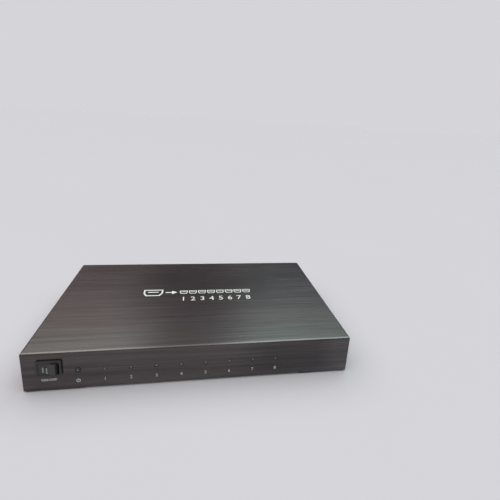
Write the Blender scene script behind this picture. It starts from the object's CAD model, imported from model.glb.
"""Looks of a one-to-eight video splitter: brushed black casing, rocker switch, indicators, rear sockets and printed marks."""
import math

import bmesh
import bpy
from mathutils import Matrix, Vector


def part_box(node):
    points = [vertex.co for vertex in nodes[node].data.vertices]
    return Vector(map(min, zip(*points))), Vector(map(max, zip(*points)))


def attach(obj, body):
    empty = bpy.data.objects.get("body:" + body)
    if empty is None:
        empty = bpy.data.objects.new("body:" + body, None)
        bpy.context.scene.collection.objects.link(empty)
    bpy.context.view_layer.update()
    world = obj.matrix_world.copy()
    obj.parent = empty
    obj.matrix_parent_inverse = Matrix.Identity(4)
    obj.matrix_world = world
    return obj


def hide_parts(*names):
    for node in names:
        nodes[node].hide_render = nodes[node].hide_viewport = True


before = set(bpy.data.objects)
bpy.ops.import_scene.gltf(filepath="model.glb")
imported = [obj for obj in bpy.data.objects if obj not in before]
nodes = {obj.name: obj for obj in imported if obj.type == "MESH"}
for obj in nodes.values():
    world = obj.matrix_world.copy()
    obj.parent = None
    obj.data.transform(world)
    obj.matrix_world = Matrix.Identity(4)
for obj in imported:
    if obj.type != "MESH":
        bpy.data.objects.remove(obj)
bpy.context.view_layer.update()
scene = bpy.context.scene
MM = 0.001

# ---------------------------------------------------------------- places taken over from the frame, in millimetres


def box_mm(node):
    lo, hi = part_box(node)
    return [v / MM for v in lo], [v / MM for v in hi]


cover_lo, cover_hi = box_mm("top_cover")
HW = cover_hi[0]                 # half width of the casing
YF, YR = cover_lo[1], cover_hi[1]  # front face and rear face
Z0, Z1 = cover_lo[2], cover_hi[2]  # lowest edge and top face
SHEET = 1.2
bezel_lo, bezel_hi = box_mm("switch_housing")
SW_X = (bezel_lo[0] + bezel_hi[0]) / 2
SW_Z = (bezel_lo[2] + bezel_hi[2]) / 2
TILT = math.radians(10)
PIVOT = Vector((SW_X, YF + 2.2, SW_Z))
LED_X = [-81.9 + 22.4 * i for i in range(8)]
POWER_X = -104.4
LED_Z = 19.9
OUT_X = [-66 + 26 * i for i in range(8)]
IN_X, DC_X = -96, -124
SOCK_Z, DC_Z = 14.325, 17.1

# ---------------------------------------------------------------- shader graph helpers


class Graph:
    """A node tree with short calls for the nodes used here: a new material's, or one that is handed over."""

    def __init__(self, name, tree=None):
        if tree:
            self.nt = tree
            self.nt.nodes.clear()
            self.tc = self.nt.nodes.new("ShaderNodeTexCoord")
            return
        self.mat = bpy.data.materials.new(name)
        self.mat.use_nodes = True
        self.nt = self.mat.node_tree
        self.nt.nodes.clear()
        self.out = self.nt.nodes.new("ShaderNodeOutputMaterial")
        self.bsdf = self.nt.nodes.new("ShaderNodeBsdfPrincipled")
        self.nt.links.new(self.bsdf.outputs[0], self.out.inputs[0])
        self.tc = self.nt.nodes.new("ShaderNodeTexCoord")

    def put(self, socket, value):
        if isinstance(value, bpy.types.NodeSocket):
            self.nt.links.new(value, socket)
        elif value is not None:
            socket.default_value = value

    def set(self, **kw):
        for k, v in kw.items():
            self.put(self.bsdf.inputs[k.replace("_", " ")], v)
        return self

    def math(self, op, a, b=None, c=None, clamp=False):
        n = self.nt.nodes.new("ShaderNodeMath")
        n.operation = op
        n.use_clamp = clamp
        for s, v in zip(n.inputs, (a, b, c)):
            self.put(s, v)
        return n.outputs[0]

    def vec(self, op, a, b=None):
        n = self.nt.nodes.new("ShaderNodeVectorMath")
        n.operation = op
        for s, v in zip(n.inputs, (a, b)):
            self.put(s, v)
        return n.outputs[0]

    def split(self, v):
        n = self.nt.nodes.new("ShaderNodeSeparateXYZ")
        self.put(n.inputs[0], v)
        return n.outputs[0], n.outputs[1], n.outputs[2]

    def join(self, x, y, z):
        n = self.nt.nodes.new("ShaderNodeCombineXYZ")
        for s, v in zip(n.inputs, (x, y, z)):
            self.put(s, v)
        return n.outputs[0]

    def scaled(self, v, x, y, z):
        n = self.nt.nodes.new("ShaderNodeMapping")
        self.put(n.inputs["Vector"], v)
        n.inputs["Scale"].default_value = (x, y, z)
        return n.outputs[0]

    def noise(self, v, scale=1.0, detail=2.0, rough=0.5, distortion=0.0):
        n = self.nt.nodes.new("ShaderNodeTexNoise")
        self.put(n.inputs["Vector"], v)
        n.inputs["Scale"].default_value = scale
        n.inputs["Detail"].default_value = detail
        n.inputs["Roughness"].default_value = rough
        n.inputs["Distortion"].default_value = distortion
        return n.outputs["Fac"]

    def cells(self, v, scale, out="Distance"):
        n = self.nt.nodes.new("ShaderNodeTexVoronoi")
        self.put(n.inputs["Vector"], v)
        n.inputs["Scale"].default_value = scale
        return n.outputs[out]

    def ramp(self, fac, *stops):
        n = self.nt.nodes.new("ShaderNodeValToRGB")
        self.put(n.inputs[0], fac)
        el = n.color_ramp.elements
        while len(el) < len(stops):
            el.new(0.5)
        for e, (p, c) in zip(el, stops):
            e.position = p
            e.color = (*c, 1) if len(c) == 3 else c
        return n.outputs[0]

    def range(self, v, a, b, c, d, smooth=True):
        n = self.nt.nodes.new("ShaderNodeMapRange")
        n.interpolation_type = "SMOOTHSTEP" if smooth else "LINEAR"
        for s, x in zip(n.inputs, (v, a, b, c, d)):
            self.put(s, x)
        return n.outputs[0]

    def mix(self, fac, a, b, mode="MIX"):
        n = self.nt.nodes.new("ShaderNodeMix")
        n.data_type = "RGBA"
        n.blend_type = mode
        self.put(n.inputs[0], fac)
        for i, v in ((6, a), (7, b)):
            self.put(n.inputs[i], (*v, 1) if isinstance(v, tuple) and len(v) == 3 else v)
        return n.outputs[2]

    def bump(self, height, strength, distance, under=None):
        n = self.nt.nodes.new("ShaderNodeBump")
        n.inputs["Strength"].default_value = strength
        n.inputs["Distance"].default_value = distance
        self.put(n.inputs["Height"], height)
        if under is not None:
            self.put(n.inputs["Normal"], under)
        return n.outputs[0]


def brushed_black(name, base=0.1, lift=1.0):
    """Black anodised sheet brushed along the width. The grain turns round the front bend and runs down the folded sides."""
    g = Graph(name)
    p = g.tc.outputs["Object"]
    x, y, z = g.split(p)
    nx, ny, nz = g.split(g.tc.outputs["Normal"])
    side = g.range(g.math("ABSOLUTE", nx), 0.6, 0.9, 0.0, 1.0)
    flat = g.math("SUBTRACT", 1.0, side)
    across = g.math("SUBTRACT", y, g.math("MULTIPLY", z, flat))
    along = g.math("ADD", g.math("MULTIPLY", x, flat), g.math("MULTIPLY", z, side))
    grain = g.join(along, across, 0.0)
    fine = g.noise(g.scaled(grain, 30, 3600, 1), 1.0, 4.0, 0.7)
    medium = g.noise(g.scaled(grain, 12, 950, 1), 1.0, 3.0, 0.6)
    coarse = g.noise(g.scaled(grain, 4.5, 260, 1), 1.0, 2.0, 0.55)
    hair = g.noise(g.scaled(grain, 55, 11000, 1), 1.0, 2.0, 0.6)
    cloud = g.noise(p, 9.0, 2.0, 0.5)
    warm = g.noise(p, 6.5, 1.0, 0.4)
    # brightness of the bare grain
    level = g.math("ADD", g.math("MULTIPLY", g.math("SUBTRACT", medium, 0.5), 0.85),
                   g.math("MULTIPLY", g.math("SUBTRACT", coarse, 0.5), 0.75))
    level = g.math("ADD", level, g.math("MULTIPLY", g.math("SUBTRACT", fine, 0.5), 0.5))
    level = g.math("ADD", level, g.math("MULTIPLY", g.math("SUBTRACT", hair, 0.5), 0.5))
    level = g.math("ADD", level, g.math("MULTIPLY", g.math("SUBTRACT", cloud, 0.5), 0.25))
    level = g.math("MULTIPLY", g.math("ADD", level, 1.0), base * lift)
    # the outer side of a bend is stretched and rubbed a little brighter
    bend = g.range(g.math("MULTIPLY", g.math("ABSOLUTE", ny), g.math("MAXIMUM", nz, 0.0)), 0.08, 0.4, 0.0, 1.0)
    level = g.math("MULTIPLY", level, g.math("ADD", 1.0, g.math("MULTIPLY", bend, 0.5)))
    # the front is paler along its lower edge and a little deeper towards the right
    front = g.range(ny, -0.6, -0.9, 0.0, 1.0)
    pale = g.math("MULTIPLY", g.range(z, 0.0145, 0.0045, 0.0, 0.34), g.range(x, -0.14, -0.09, 0.2, 1.0))
    deep = g.math("MULTIPLY", g.range(x, 0.03, 0.075, 0.0, 0.24), g.range(x, 0.14, 0.115, 0.0, 1.0))
    level = g.math("MULTIPLY", level, g.math("ADD", 1.0, g.math("MULTIPLY", front, g.math("SUBTRACT", pale, deep))))
    # the anodising runs from brownish on the left to a cool tone on the right, is a little redder on the top and plain on the sides
    tint = g.ramp(warm, (0.3, (0.97, 1.02, 1.0)), (0.5, (1.0, 1.0, 1.0)), (0.7, (1.05, 0.985, 0.975)))
    tone = g.mix(g.range(x, -0.13, 0.07, 0.0, 1.0), (1.06, 0.96, 0.955), (0.985, 1.0, 1.005))
    upper = g.math("MULTIPLY", g.range(y, -0.08, -0.03, 0.0, 1.0), g.range(nz, 0.6, 0.95, 0.0, 1.0))
    tone = g.vec("MULTIPLY", tone, g.mix(upper, (1.0, 1.0, 1.0), (1.055, 0.935, 0.975)))
    tone = g.vec("MULTIPLY", tone, g.mix(front, (1.0, 1.0, 1.0), (1.01, 0.965, 0.975)))
    tone = g.mix(side, tone, (1.0, 0.99, 0.985))
    colour = g.vec("MULTIPLY", g.vec("MULTIPLY", tint, tone), g.join(level, level, level))
    rough = g.math("ADD", 0.25, g.math("ADD", g.math("MULTIPLY", g.math("SUBTRACT", medium, 0.5), 0.16),
                                     g.math("MULTIPLY", g.math("SUBTRACT", cloud, 0.5), 0.10)))
    # the gloss spreads across the grain
    geo = g.nt.nodes.new("ShaderNodeNewGeometry")
    tangent = g.vec("ADD", g.vec("CROSS_PRODUCT", geo.outputs["True Normal"], (1, 0, 0)), (0, 0.01, 0))
    bump = g.bump(g.math("ADD", g.math("MULTIPLY", fine, 0.6), g.math("MULTIPLY", medium, 0.4)), 0.35, 0.00002)
    g.set(Base_Color=colour, Metallic=1.0, Roughness=rough, Anisotropic=0.6, Tangent=tangent, Normal=bump)
    return g.mat


def powder_coat(name, colour=(0.018, 0.018, 0.019), grain=1400):
    """Fine satin powder coat: small orange-peel bumps and faint cloudiness."""
    g = Graph(name)
    p = g.tc.outputs["Object"]
    peel = g.noise(p, grain, 2.0, 0.5)
    cloud = g.noise(p, 30, 3.0, 0.5)
    speck = g.range(g.cells(p, 2600), 0.0, 0.28, 1.0, 0.0)
    c = g.mix(g.range(cloud, 0.3, 0.7, 0.0, 1.0), tuple(v * 0.8 for v in colour), tuple(v * 1.25 for v in colour))
    c = g.mix(g.math("MULTIPLY", speck, 0.25), c, tuple(v * 2.6 for v in colour))
    g.set(Base_Color=c, Roughness=g.math("ADD", 0.42, g.math("MULTIPLY", peel, 0.2)),
          Normal=g.bump(peel, 0.35, 0.00008))
    return g.mat


def moulded(name, colour, rough=0.45, grain=2600, strength=0.25, spread=0.12):
    """Moulded plastic with a spark-eroded texture."""
    g = Graph(name)
    p = g.tc.outputs["Object"]
    tex = g.noise(p, grain, 3.0, 0.6)
    cloud = g.noise(p, 120, 2.0, 0.5)
    c = g.mix(cloud, tuple(v * (1 - spread) for v in colour), tuple(min(1, v * (1 + spread)) for v in colour))
    g.set(Base_Color=c, Roughness=g.math("ADD", rough - 0.06, g.math("MULTIPLY", tex, 0.12)),
          Normal=g.bump(tex, strength, 0.00003))
    return g.mat


def plated(name, colour, rough=0.26, streak=(40, 40, 900), tarnish=(0.55, 0.5, 0.42)):
    """Plated or drawn metal: fine drawing lines and a little tarnish."""
    g = Graph(name)
    p = g.tc.outputs["Object"]
    lines = g.noise(g.scaled(p, *streak), 1.0, 2.0, 0.5)
    spots = g.noise(p, 420, 3.0, 0.6)
    c = g.mix(g.range(spots, 0.52, 0.75, 0.0, 0.45), colour, tuple(a * b for a, b in zip(colour, tarnish)))
    c = g.mix(g.math("MULTIPLY", lines, 0.35), c, tuple(v * 0.7 for v in colour))
    g.set(Base_Color=c, Metallic=1.0, Roughness=g.math("ADD", rough - 0.08, g.math("MULTIPLY", lines, 0.18)),
          Normal=g.bump(lines, 0.2, 0.00003))
    return g.mat


def rubber(name, colour, grain=1900):
    g = Graph(name)
    p = g.tc.outputs["Object"]
    tex = g.noise(p, grain, 3.0, 0.65)
    dust = g.noise(p, 160, 3.0, 0.6)
    c = g.mix(g.range(dust, 0.45, 0.8, 0.0, 0.5), colour, tuple(min(1, v * 2.2 + 0.01) for v in colour))
    g.set(Base_Color=c, Roughness=g.math("ADD", 0.72, g.math("MULTIPLY", tex, 0.2)), Normal=g.bump(tex, 0.4, 0.00006))
    return g.mat


def lens(name, colour, axis_z):
    """Clear indicator lens, unlit: milky at its rim, darker over the die in the middle."""
    g = Graph(name)
    x, y, z = g.split(g.tc.outputs["Object"])
    depth = g.range(y, (YF - 0.6) * MM, (YF + 0.9) * MM, 0.0, 1.0)
    swirl = g.noise(g.tc.outputs["Object"], 1200, 2.0, 0.5)
    c = g.mix(depth, colour, tuple(v * 0.45 for v in colour))
    c = g.mix(g.math("MULTIPLY", swirl, 0.3), c, tuple(v * 0.6 for v in colour))
    g.set(Base_Color=c, Roughness=g.math("ADD", 0.06, g.math("MULTIPLY", swirl, 0.08)), IOR=1.52,
          Transmission_Weight=0.35, Coat_Weight=0.6)
    return g.mat


def ink(name, colour=(0.62, 0.62, 0.61)):
    """Screen-printed ink: slightly uneven cover, matt."""
    g = Graph(name)
    p = g.tc.outputs["Object"]
    mesh_mark = g.noise(p, 2400, 2.0, 0.6)
    patch = g.noise(p, 260, 2.0, 0.5)
    c = g.mix(g.range(g.math("ADD", mesh_mark, g.math("MULTIPLY", patch, 0.4)), 0.45, 0.95, 0.0, 0.35),
              colour, tuple(v * 0.72 for v in colour))
    g.set(Base_Color=c, Roughness=g.math("ADD", 0.5, g.math("MULTIPLY", mesh_mark, 0.2)),
          Normal=g.bump(mesh_mark, 0.3, 0.00002))
    return g.mat


def board(name):
    """Green solder mask over copper tracks that show as a faint pattern."""
    g = Graph(name)
    p = g.tc.outputs["Object"]
    n = g.nt.nodes.new("ShaderNodeTexBrick")
    g.put(n.inputs["Vector"], g.scaled(p, 160, 160, 160))
    n.inputs["Scale"].default_value = 1.0
    n.inputs["Mortar Size"].default_value = 0.06
    tracks = n.outputs["Fac"]
    weave = g.noise(p, 900, 2.0, 0.5)
    c = g.mix(g.math("MULTIPLY", tracks, 0.6), (0.012, 0.075, 0.03), (0.03, 0.16, 0.06))
    c = g.mix(g.math("MULTIPLY", weave, 0.25), c, (0.01, 0.05, 0.02))
    g.set(Base_Color=c, Roughness=g.math("ADD", 0.22, g.math("MULTIPLY", weave, 0.2)), Normal=g.bump(tracks, 0.2, 0.00003))
    return g.mat


# ---------------------------------------------------------------- mesh helpers


def add_object(name, mesh):
    ob = bpy.data.objects.new(name, mesh)
    scene.collection.objects.link(ob)
    return ob


def baked_modifiers(ob):
    """Replaces an object's mesh by its evaluated mesh, so that the piece holds its final shape."""
    dg = bpy.context.evaluated_depsgraph_get()
    made = bpy.data.meshes.new_from_object(ob.evaluated_get(dg), preserve_all_data_layers=True, depsgraph=dg)
    old = ob.data
    ob.modifiers.clear()
    ob.data = made
    made.name = ob.name
    if old.users == 0:
        bpy.data.meshes.remove(old)
    return ob


def bevel(ob, width, segments=2, angle=35, material=-1, weights=False, clamp=True):
    m = ob.modifiers.new("edges", "BEVEL")
    m.width = width * MM
    m.segments = segments
    m.limit_method = "WEIGHT" if weights else "ANGLE"
    m.angle_limit = math.radians(angle)
    m.use_clamp_overlap = clamp
    m.miter_outer = "MITER_ARC" if segments > 1 else "MITER_SHARP"
    m.material = material
    return m


def even_normals(ob, sharp=50):
    for p in ob.data.polygons:
        p.use_smooth = True
    ob.data.set_sharp_from_angle(angle=math.radians(sharp))
    m = ob.modifiers.new("normals", "WEIGHTED_NORMAL")
    m.mode = "FACE_AREA_WITH_ANGLE"
    m.weight = 80
    m.keep_sharp = True
    return m


def from_cad(node, name, width, segments=2, angle=35, mats=(), body="chassis", flat_deg=0.6):
    """A copy of a CAD node's mesh with its sharp edges broken, standing for that node."""
    me = nodes[node].data.copy()
    bm = bmesh.new()
    bm.from_mesh(me)
    bmesh.ops.remove_doubles(bm, verts=bm.verts, dist=2e-6)
    bmesh.ops.dissolve_limit(bm, angle_limit=math.radians(flat_deg), verts=bm.verts, edges=bm.edges)
    for f in bm.faces:
        f.material_index = 0
        f.smooth = True
    bmesh.ops.recalc_face_normals(bm, faces=bm.faces)
    bm.to_mesh(me)
    bm.free()
    me.materials.clear()
    for m in mats:
        me.materials.append(m)
    ob = add_object(name, me)
    bevel(ob, width, segments, angle, 1 if len(mats) > 1 else -1)
    baked_modifiers(ob)
    even_normals(ob)
    baked_modifiers(ob)
    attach(ob, body)
    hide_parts(node)
    return ob


def paint(node, mat):
    for s in nodes[node].material_slots:
        s.link = "OBJECT"
        s.material = mat


def prism(bm, outer, inner, frame_m, low=-0.02, high=0.02):
    """Adds a flat printed shape as a closed solid: a filled outline, or the band between two outlines of equal length. In mm."""
    def ring(points, w):
        return [bm.verts.new(frame_m @ Vector((u * MM, v * MM, w * MM))) for u, v in points]
    lo, hi = ring(outer, low), ring(outer, high)
    n = len(outer)
    for i in range(n):
        j = (i + 1) % n
        bm.faces.new((lo[i], lo[j], hi[j], hi[i]))
    if inner is None:
        bm.faces.new(hi)
        bm.faces.new(lo[::-1])
        return
    lo2, hi2 = ring(inner, low), ring(inner, high)
    for i in range(n):
        j = (i + 1) % n
        bm.faces.new((hi[i], hi[j], hi2[j], hi2[i]))
        bm.faces.new((lo[j], lo[i], lo2[i], lo2[j]))
        bm.faces.new((lo2[j], lo2[i], hi2[i], hi2[j]))


def arc_points(cx, cy, r, a0, a1, n):
    return [(cx + r * math.cos(math.radians(a0 + (a1 - a0) * i / n)), cy + r * math.sin(math.radians(a0 + (a1 - a0) * i / n)))
            for i in range(n + 1)]


def disc(cx, cy, r, n=40):
    return arc_points(cx, cy, r, 0, 360 * (n - 1) / n, n - 1)


def rod(x0, y0, x1, y1, w, n=8):
    """Outline of a stroke with round ends."""
    a = math.degrees(math.atan2(y1 - y0, x1 - x0))
    return arc_points(x1, y1, w / 2, a - 90, a + 90, n) + arc_points(x0, y0, w / 2, a + 90, a + 270, n)


def arc_stroke(cx, cy, r, w, a0, a1, n=32):
    return arc_points(cx, cy, r + w / 2, a0, a1, n) + arc_points(cx, cy, r - w / 2, a1, a0, n)


def glyphs(bm, body, height, u, v, frame_m, bold=0.0, low=-0.02, high=0.02, spacing=1.0):
    """Adds plain characters as closed solids, centred on u, v. In mm."""
    cu = bpy.data.curves.new("glyphs", "FONT")
    cu.body = body
    cu.size = 1.0
    cu.offset = bold
    cu.extrude = 0.05
    cu.resolution_u = 5
    cu.space_character = spacing
    ob = bpy.data.objects.new("glyphs", cu)
    scene.collection.objects.link(ob)
    dg = bpy.context.evaluated_depsgraph_get()
    me = bpy.data.meshes.new_from_object(ob.evaluated_get(dg), depsgraph=dg)
    bpy.data.objects.remove(ob)
    bpy.data.curves.remove(cu)
    part = bmesh.new()
    part.from_mesh(me)
    bpy.data.meshes.remove(me)
    bmesh.ops.remove_doubles(part, verts=part.verts, dist=1e-5)
    xs = [p.co.x for p in part.verts]
    ys = [p.co.y for p in part.verts]
    k = height / (max(ys) - min(ys))
    mx, my = (max(xs) + min(xs)) / 2, (max(ys) + min(ys)) / 2
    made = {}
    for p in part.verts:
        w = low if p.co.z < 0 else high
        made[p.index] = bm.verts.new(frame_m @ Vector(((u + (p.co.x - mx) * k) * MM, (v + (p.co.y - my) * k) * MM, w * MM)))
    for f in part.faces:
        bm.faces.new([made[p.index] for p in f.verts])
    part.free()


def printed(name, bm, mat, body="chassis"):
    bmesh.ops.recalc_face_normals(bm, faces=bm.faces)
    me = bpy.data.meshes.new(name)
    bm.to_mesh(me)
    bm.free()
    me.materials.append(mat)
    ob = add_object(name, me)
    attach(ob, body)
    return ob


TOP = Matrix.Translation((0, 0, Z1 * MM))
FRONT = Matrix(((1, 0, 0, 0), (0, 0, -1, YF * MM), (0, 1, 0, 0), (0, 0, 0, 1)))
REAR = Matrix(((-1, 0, 0, 0), (0, 0, 1, YR * MM), (0, 1, 0, 0), (0, 0, 0, 1)))


def block(x0, x1, y0, y1, z0, z1):
    """Mesh object of a plain block, only used for cutting and joining shapes. In mm."""
    bm = bmesh.new()
    bmesh.ops.create_cube(bm, size=1)
    for p in bm.verts:
        p.co = Vector(((x0 + x1) / 2 + p.co.x * (x1 - x0), (y0 + y1) / 2 + p.co.y * (y1 - y0), (z0 + z1) / 2 + p.co.z * (z1 - z0))) * MM
    me = bpy.data.meshes.new("block")
    bm.to_mesh(me)
    bm.free()
    return add_object("block", me)


def swept(points, axis, a, b, name="swept"):
    """Mesh object of a flat outline stretched along an axis from a to b. Outline in the other two axes, in mm."""
    bm = bmesh.new()
    def at(p, w):
        q = {"x": (w, p[0], p[1]), "y": (p[0], w, p[1]), "z": (p[0], p[1], w)}[axis]
        return bm.verts.new(Vector(q) * MM)
    lo, hi = [at(p, a) for p in points], [at(p, b) for p in points]
    n = len(points)
    for i in range(n):
        j = (i + 1) % n
        bm.faces.new((lo[i], lo[j], hi[j], hi[i]))
    bm.faces.new(hi)
    bm.faces.new(lo[::-1])
    bmesh.ops.recalc_face_normals(bm, faces=bm.faces)
    me = bpy.data.meshes.new(name)
    bm.to_mesh(me)
    bm.free()
    return add_object(name, me)


def joined(obs):
    bm = bmesh.new()
    for ob in obs:
        bm.from_mesh(ob.data)
        old = ob.data
        bpy.data.objects.remove(ob)
        bpy.data.meshes.remove(old)
    me = bpy.data.meshes.new("joined")
    bm.to_mesh(me)
    bm.free()
    return add_object("joined", me)


def boolean(ob, other, how="DIFFERENCE"):
    m = ob.modifiers.new("cut", "BOOLEAN")
    m.operation = how
    m.solver = "EXACT"
    m.object = other
    baked_modifiers(ob)
    old = other.data
    bpy.data.objects.remove(other)
    bpy.data.meshes.remove(old)
    return ob


def weigh(ob, pick):
    """Sets bevel weights of the edges of a mesh: pick(a, b) gives the weight for an edge between two points in mm."""
    me = ob.data
    att = me.attributes.get("bevel_weight_edge") or me.attributes.new("bevel_weight_edge", "FLOAT", "EDGE")
    for e in me.edges:
        a, b = (me.vertices[i].co / MM for i in e.vertices)
        att.data[e.index].value = pick(a, b)


def tidy(ob, dist=1.5e-6, flat_deg=0.3):
    bm = bmesh.new()
    bm.from_mesh(ob.data)
    bmesh.ops.remove_doubles(bm, verts=bm.verts, dist=dist)
    bmesh.ops.dissolve_degenerate(bm, edges=bm.edges, dist=1e-7)
    bmesh.ops.dissolve_limit(bm, angle_limit=math.radians(flat_deg), verts=bm.verts, edges=bm.edges)
    bmesh.ops.recalc_face_normals(bm, faces=bm.faces)
    for f in bm.faces:
        f.material_index = 0
        f.smooth = True
    bm.to_mesh(ob.data)
    bm.free()


def finish_piece(ob, name, mats, body, node=None, sharp=50):
    ob.name = name
    ob.data.name = name
    ob.data.materials.clear()
    for m in mats:
        ob.data.materials.append(m)
    even_normals(ob, sharp)
    baked_modifiers(ob)
    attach(ob, body)
    if node:
        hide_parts(node)
    return ob


def near(a, b, axis, value, tol=0.02):
    return abs(a[axis] - value) < tol and abs(b[axis] - value) < tol


# ---------------------------------------------------------------- materials

M = {
    "cover": brushed_black("cover_brushed_finish", 0.095),
    "cover_edge": brushed_black("cover_edge_finish", 0.095, 1.7),
    "tray": powder_coat("tray_powder_finish"),
    "screw": plated("screw_oxide_finish", (0.045, 0.045, 0.047), 0.38, (900, 40, 900), (0.7, 0.65, 0.6)),
    "foot": rubber("foot_rubber_finish", (0.016, 0.016, 0.016)),
    "board": board("board_mask_finish"),
    "brass": plated("pillar_brass_finish", (0.72, 0.5, 0.2), 0.25, (60, 60, 1400)),
    "nickel": plated("screw_nickel_finish", (0.66, 0.65, 0.63), 0.25, (700, 700, 60)),
    "socket": plated("socket_nickel_finish", (0.62, 0.62, 0.63), 0.24, (60, 900, 60)),
    "insulator": moulded("socket_black_finish", (0.012, 0.012, 0.013), 0.5),
    "gold": plated("contact_gold_finish", (0.83, 0.58, 0.22), 0.2, (900, 60, 900), (0.8, 0.75, 0.6)),
    "housing": moulded("switch_housing_finish", (0.0238, 0.0212, 0.0218), 0.42, 2200, 0.3),
    "rocker": moulded("rocker_finish", (0.0228, 0.0203, 0.0208), 0.27, 3000, 0.12),
    "plunger": moulded("plunger_finish", (0.72, 0.7, 0.64), 0.45),
    "steel": plated("spring_steel_finish", (0.6, 0.6, 0.62), 0.22, (900, 900, 900)),
    "copper": plated("lever_copper_finish", (0.7, 0.42, 0.2), 0.28, (60, 900, 900)),
    "red": rubber("lead_red_finish", (0.42, 0.02, 0.02), 1200),
    "black": rubber("lead_black_finish", (0.02, 0.02, 0.02), 1200),
    "plug": moulded("plug_white_finish", (0.76, 0.74, 0.66), 0.4),
    "lens": lens("status_lens_finish", (0.15, 0.155, 0.155), 0),
    "lens_power": lens("power_lens_finish", (0.27, 0.33, 0.27), 0),
    "ring": moulded("indicator_ring_finish", (0.027, 0.0245, 0.025), 0.34, 2600, 0.15),
    "chip": moulded("chip_black_finish", (0.03, 0.03, 0.032), 0.55),
    "pad": rubber("thermal_pad_finish", (0.3, 0.34, 0.37), 900),
    "sink": plated("heatsink_finish", (0.55, 0.56, 0.58), 0.34, (60, 60, 900)),
    "can": plated("crystal_can_finish", (0.68, 0.68, 0.69), 0.2, (900, 60, 60)),
    "ferrite": moulded("ferrite_finish", (0.11, 0.11, 0.115), 0.6),
    "sleeve": plated("capacitor_sleeve_finish", (0.12, 0.17, 0.32), 0.3, (900, 900, 60)),
    "ink": ink("print_white_finish"),
    "mark": ink("rocker_mark_finish", (0.25, 0.25, 0.245)),
}

# ---------------------------------------------------------------- casing



def folded(hw, y0, y1, za, zb, r_top, r_vert):
    """Block whose upper front and side edges, and upright front edges, are bends."""
    ob = block(-hw, hw, y0, y1, za, zb)
    big = max(r_top, r_vert)

    def weight(a, b):
        if near(a, b, 2, zb) and (near(a, b, 1, y0) or near(a, b, 0, hw) or near(a, b, 0, -hw)):
            return r_top / big
        if near(a, b, 1, y0) and (near(a, b, 0, hw) or near(a, b, 0, -hw)):
            return r_vert / big
        return 0.0

    weigh(ob, weight)
    bevel(ob, big, 10, weights=True)
    baked_modifiers(ob)
    return ob


def slot_outline(cy, cz, w, h, n=12):
    return arc_points(cy, cz + (h - w) / 2, w / 2, 0, 180, n) + arc_points(cy, cz - (h - w) / 2, w / 2, 180, 360, n)


cover = folded(HW, YF, YR, Z0, Z1, 2.0, 1.0)
boolean(cover, folded(HW - SHEET, YF + SHEET, YR + 5, Z0 - 5, Z1 - SHEET, 0.8, 0.1))
cutters = [swept(slot_outline((i - 5) * 8, 24, 2.6, 13.6), "x", s * HW - 4, s * HW + 4) for s in (-1, 1) for i in range(11)]
cutters += [swept(disc(y, 10, 1.7, 32), "x", s * HW - 4, s * HW + 4) for s in (-1, 1) for y in (-55, 55)]
cutters += [swept(disc(x, LED_Z, 1.6, 40), "y", YF - 1, YF + 3) for x in LED_X]
cutters += [swept(disc(POWER_X, LED_Z, 2.4, 48), "y", YF - 1, YF + 3)]
cutters += [block(SW_X - 9.5, SW_X + 9.5, YF - 1, YF + 2.2, SW_Z - 6.5, SW_Z + 6.5),
            block(-100, 100, YF - 1, YF + 1.3, Z0 - 1, Z0 + 1)]
boolean(cover, joined(cutters))
tidy(cover)
for m in (M["cover"], M["cover_edge"]):
    cover.data.materials.append(m)
bevel(cover, 0.18, 2, 40, 1)
baked_modifiers(cover)
finish_piece(cover, "cover_shell", (M["cover"], M["cover_edge"]), "chassis", "top_cover")
from_cad("base_tray", "tray_shell", 0.2, 2, 40, (M["tray"],))
from_cad("cover_screws", "side_screws", 0.12, 2, 40, (M["screw"],))
from_cad("rubber_feet", "foot_pads", 0.25, 3, 40, (M["foot"],))

# ---------------------------------------------------------------- switch

from_cad("switch_housing", "switch_bezel", 0.45, 3, 40, (M["housing"],))

# The rocker's cap, drawn level and then turned to its resting tilt: two wings that meet in a soft crease
WING, CREASE = 7.4, 4.2
TIP = CREASE + WING * math.tan(TILT)
valley = []
for i in range(-20, 21):
    x = WING * i / 20
    k = (math.hypot(x, 0.7) - 0.7) / (math.hypot(WING, 0.7) - 0.7)
    valley.append((x, -CREASE - (TIP - CREASE) * k))
rocker = swept(valley + [(8.1, -1.45), (6.2, 0.4), (2.2, 1.2), (-2.2, 1.2), (-6.2, 0.4), (-8.1, -1.45)], "z", -5.3, 5.3)


def cap_edges(a, b):
    if a[1] > -1.2 or b[1] > -1.2:
        return 0.0
    if near(a, b, 0, WING) or near(a, b, 0, -WING):
        return 1.0 if abs(a[2] - b[2]) > 1 else 0.0
    if near(a, b, 2, 5.3) or near(a, b, 2, -5.3):
        return 0.8
    return 0.0


weigh(rocker, cap_edges)
bevel(rocker, 0.6, 5, weights=True)
baked_modifiers(rocker)
boolean(rocker, swept(disc(0, 0, 1.3, 40), "z", -6.3, 6.3), "UNION")
guide = block(-2.2, 2.2, 0.6, 6, -2.6, 2.6)
boolean(rocker, guide, "UNION")
boolean(rocker, swept(disc(0, 0, 1.25, 32), "y", 1.4, 7))
tidy(rocker)
REST = Matrix.Translation(PIVOT * MM) @ Matrix.Rotation(-TILT, 4, "Z")
rocker.data.transform(REST)
finish_piece(rocker, "rocker_cap", (M["rocker"],), "rocker", "switch_rocker", sharp=40)

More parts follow.
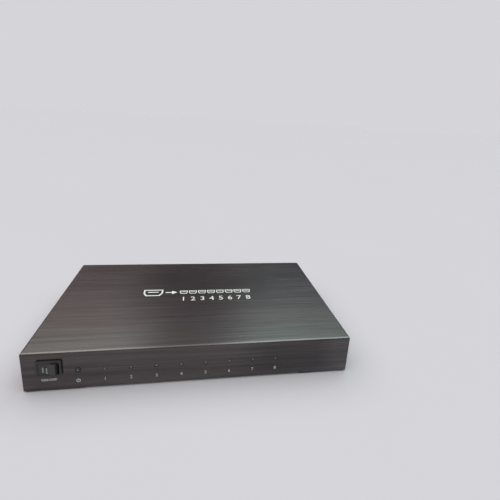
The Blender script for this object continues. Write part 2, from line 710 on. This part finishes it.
# two pale upright marks on the pressed wing
bm = bmesh.new()
for middle, low, tall in ((-3.5, -3.1, 5.2), (-0.6, -4.5, 5.8)):
    front_ring, back_ring = [], []
    for i in range(7):
        x = middle - 0.55 + 1.1 * i / 6
        k = (math.hypot(x, 0.7) - 0.7) / (math.hypot(WING, 0.7) - 0.7)
        front_ring.append((x, -CREASE - (TIP - CREASE) * k - 0.02))
        back_ring.append((x, -CREASE - (TIP - CREASE) * k + 0.06))
    rings = [[bm.verts.new(REST @ (Vector((x, y, z)) * MM)) for x, y in front_ring + back_ring[::-1]] for z in (low, low + tall)]
    for i in range(14):
        j = (i + 1) % 14
        bm.faces.new((rings[0][i], rings[0][j], rings[1][j], rings[1][i]))
    for i in range(6):
        for ring in rings:
            bm.faces.new((ring[i], ring[i + 1], ring[12 - i], ring[13 - i]))
printed("rocker_marks", bm, M["mark"], "rocker")

for n, k in (("switch_plunger", "plunger"), ("switch_spring", "steel"), ("switch_lever", "copper"),
             ("switch_terminals", "brass"), ("switch_lead_red", "red"), ("switch_lead_black", "black"),
             ("lead_plug", "plug"), ("lead_header", "plug")):
    paint(n, M[k])

# ---------------------------------------------------------------- indicators, sockets and inner parts

for n, k in (("power_led", "lens_power"), ("status_leds", "lens"), ("led_spacers", "housing"),
             ("led_leads", "nickel"), ("main_board", "board"), ("board_standoffs", "brass"), ("board_screws", "nickel"),
             ("video_in_contacts", "gold"), ("video_out_contacts", "gold"), ("dc_jack_pin", "nickel"),
             ("dc_jack_spring", "copper"), ("splitter_chips", "chip"), ("thermal_pads", "pad"), ("heatsinks", "sink"),
             ("control_chip", "chip"), ("crystal", "can"), ("regulator", "chip"), ("power_inductor", "ferrite"),
             ("bulk_capacitors", "sleeve")):
    paint(n, M[k])
from_cad("power_led_bezel", "power_ring", 0.25, 3, 40, (M["ring"],))
from_cad("dc_jack_body", "inlet_body", 0.2, 3, 40, (M["insulator"],))
for a, b in [("video_in", "in")] + [(f"video_out_{{}}_{i}", f"out_{i}") for i in range(1, 9)]:
    shell, core = (a.format("shell"), a.format("insulator")) if "{" in a else (a + "_shell", a + "_insulator")
    from_cad(shell, f"socket_shell_{b}", 0.11, 2, 30, (M["socket"],))
    from_cad(core, f"socket_core_{b}", 0.14, 2, 30, (M["insulator"],))

# ---------------------------------------------------------------- printed marks


def power_sign(bm, u, v, r, w, place):
    prism(bm, arc_stroke(u, v, r, w, -240, 60), None, place)
    prism(bm, rod(u, v + 0.15 * r, u, v + 1.15 * r, w), None, place)


def socket_sign(bm, u, v, w, h, stroke, place):
    """Outline of a video socket with its tongue."""
    def shape(g):
        a, b = w / 2 - g, h / 2 - g
        return [(-a, b), (-a, -b * 0.15), (-a * 0.72, -b), (a * 0.72, -b), (a, -b * 0.15), (a, b)]
    prism(bm, [(u + p, v + q) for p, q in shape(0)], [(u + p, v + q) for p, q in shape(stroke)], place)
    prism(bm, rod(u - w * 0.24, v + h * 0.1, u + w * 0.24, v + h * 0.1, stroke), None, place)


# front: switch states, power sign, port numbers
bm = bmesh.new()
glyphs(bm, "ON/OFF", 2.45, -128.1, 11.9, FRONT, 0.02, spacing=1.08)
power_sign(bm, POWER_X, 9.6, 1.45, 0.55, FRONT)
for i, x in enumerate(LED_X):
    glyphs(bm, str(i + 1), 3.1, x, 9.7, FRONT)
printed("front_marks", bm, M["ink"])

# top: one socket feeding eight numbered sockets
bm = bmesh.new()
socket_sign(bm, -50.0, 11.5, 22, 14.5, 1.7, TOP)
prism(bm, [(-36, 10.6), (-28.5, 10.6), (-28.5, 7.6), (-22.5, 11.5), (-28.5, 15.4), (-28.5, 12.4), (-36, 12.4)], None, TOP)
for i in range(8):
    u = -15.0 + 10.7 * i
    socket_sign(bm, u, 11.5, 9.2, 7.4, 1.05, TOP)
    glyphs(bm, str(i + 1), 8.4, u, -3.6, TOP)
printed("top_marks", bm, M["ink"])

# rear: polarity of the inlet, input arrow, output numbers
bm = bmesh.new()
for i, x in enumerate(OUT_X):
    glyphs(bm, str(i + 1), 3.4, -x, 23.6, REAR)
u = -IN_X
prism(bm, [(u - 0.55, 26.0), (u - 0.55, 23.9), (u - 1.9, 23.9), (u, 21.7), (u + 1.9, 23.9), (u + 0.55, 23.9), (u + 0.55, 26.0)], None, REAR)
u, v = -DC_X, 27.4
prism(bm, arc_points(u, v, 1.91, 40, 173.7, 20) + [(u - 3.6, v + 0.21), (u - 3.6, v - 0.21)] + arc_points(u, v, 1.91, 186.3, 320, 20)
      + arc_points(u, v, 1.49, 320, 40, 40), None, REAR)
prism(bm, arc_points(u, v, 0.7, 17.5, 342.5, 28) + [(u + 3.6, v - 0.21), (u + 3.6, v + 0.21)], None, REAR)
prism(bm, [(u + 5.4 + p * 0.21 + q * 0.95, v + a * 0.21 + b * 0.95) for p, q, a, b in
           ((1, 0, 0, -1), (1, 0, -1, 0), (0, 1, -1, 0), (0, 1, 1, 0), (1, 0, 1, 0), (1, 0, 0, 1),
            (-1, 0, 0, 1), (-1, 0, 1, 0), (0, -1, 1, 0), (0, -1, -1, 0), (-1, 0, -1, 0), (-1, 0, 0, -1))], None, REAR)
prism(bm, rod(u - 6.2, v, u - 4.6, v, 0.42), None, REAR)
printed("rear_marks", bm, M["ink"])

# ---------------------------------------------------------------- stage

floor_mesh = bpy.data.meshes.new("floor")
bm = bmesh.new()
bmesh.ops.create_circle(bm, cap_ends=True, segments=96, radius=30)
bm.to_mesh(floor_mesh)
bm.free()
floor = add_object("floor", floor_mesh)
fg = Graph("floor_finish")
fn = fg.noise(fg.tc.outputs["Object"], 3.0, 2.0, 0.5)
fg.set(Base_Color=fg.mix(fn, (0.464, 0.429, 0.468), (0.474, 0.439, 0.478)), Roughness=0.95)
fg.bsdf.inputs["Specular IOR Level"].default_value = 0.1
floor_mesh.materials.append(fg.mat)

# Light comes from two wide soft boxes high on the left and right, with a dimmer gap between them, over a dark rim
world = bpy.data.worlds.new("studio")
scene.world = world
world.use_nodes = True
wg = Graph("studio", world.node_tree)
dx, dy, dz = wg.split(wg.tc.outputs["Generated"])
high = wg.mix(wg.range(dx, -0.3, 0.3, 0.0, 1.0), (2.22, 2.24, 2.12), (2.30, 2.72, 2.60))
high = wg.mix(wg.range(wg.math("ABSOLUTE", wg.math("SUBTRACT", dx, 0.01)), 0.05, 0.20, 0.0, 1.0), (0.80, 0.76, 0.77), high)
rise = wg.math("SUBTRACT", dz, wg.math("MULTIPLY", dx, 0.05))
low = wg.mix(wg.range(dx, -0.3, 0.3, 0.0, 1.0), (0.115, 0.084, 0.092), (0.082, 0.064, 0.080))
light = wg.mix(wg.range(rise, 0.505, 0.585, 0.0, 1.0), low, high)
w_out = wg.nt.nodes.new("ShaderNodeOutputWorld")
w_mix = wg.nt.nodes.new("ShaderNodeMixShader")
w_path = wg.nt.nodes.new("ShaderNodeLightPath")
w_light = wg.nt.nodes.new("ShaderNodeBackground")
w_back = wg.nt.nodes.new("ShaderNodeBackground")
wg.put(w_light.inputs[0], light)
w_back.inputs[0].default_value = (0.667, 0.660, 0.688, 1)
wg.nt.links.new(w_path.outputs["Is Camera Ray"], w_mix.inputs[0])
wg.nt.links.new(w_light.outputs[0], w_mix.inputs[1])
wg.nt.links.new(w_back.outputs[0], w_mix.inputs[2])
wg.nt.links.new(w_mix.outputs[0], w_out.inputs[0])

# ---------------------------------------------------------------- camera

AZ, EL, ROLL = math.radians(10.244), math.radians(15.026), math.radians(3.615)
cam_data = bpy.data.cameras.new("camera")
cam = bpy.data.objects.new("camera", cam_data)
scene.collection.objects.link(cam)
forward = Vector((math.sin(AZ) * math.cos(EL), math.cos(AZ) * math.cos(EL), -math.sin(EL)))
right = forward.cross(Vector((0, 0, 1))).normalized()
up = right.cross(forward)
right, up = (right * math.cos(ROLL) + up * math.sin(ROLL)), (up * math.cos(ROLL) - right * math.sin(ROLL))
place = Vector((-8.9, -363.3 + (YF + YR) / 2, 242.0 + Z0)) * MM
cam.matrix_world = Matrix((
    (right.x, up.x, -forward.x, place.x),
    (right.y, up.y, -forward.y, place.y),
    (right.z, up.z, -forward.z, place.z),
    (0, 0, 0, 1)))
cam_data.sensor_width = 36
cam_data.lens = 36 * 342 / 500
cam_data.shift_y = -0.08
cam_data.clip_start, cam_data.clip_end = 0.005, 100
scene.camera = cam
scene.view_settings.view_transform = "Standard"
scene.view_settings.look = "None"
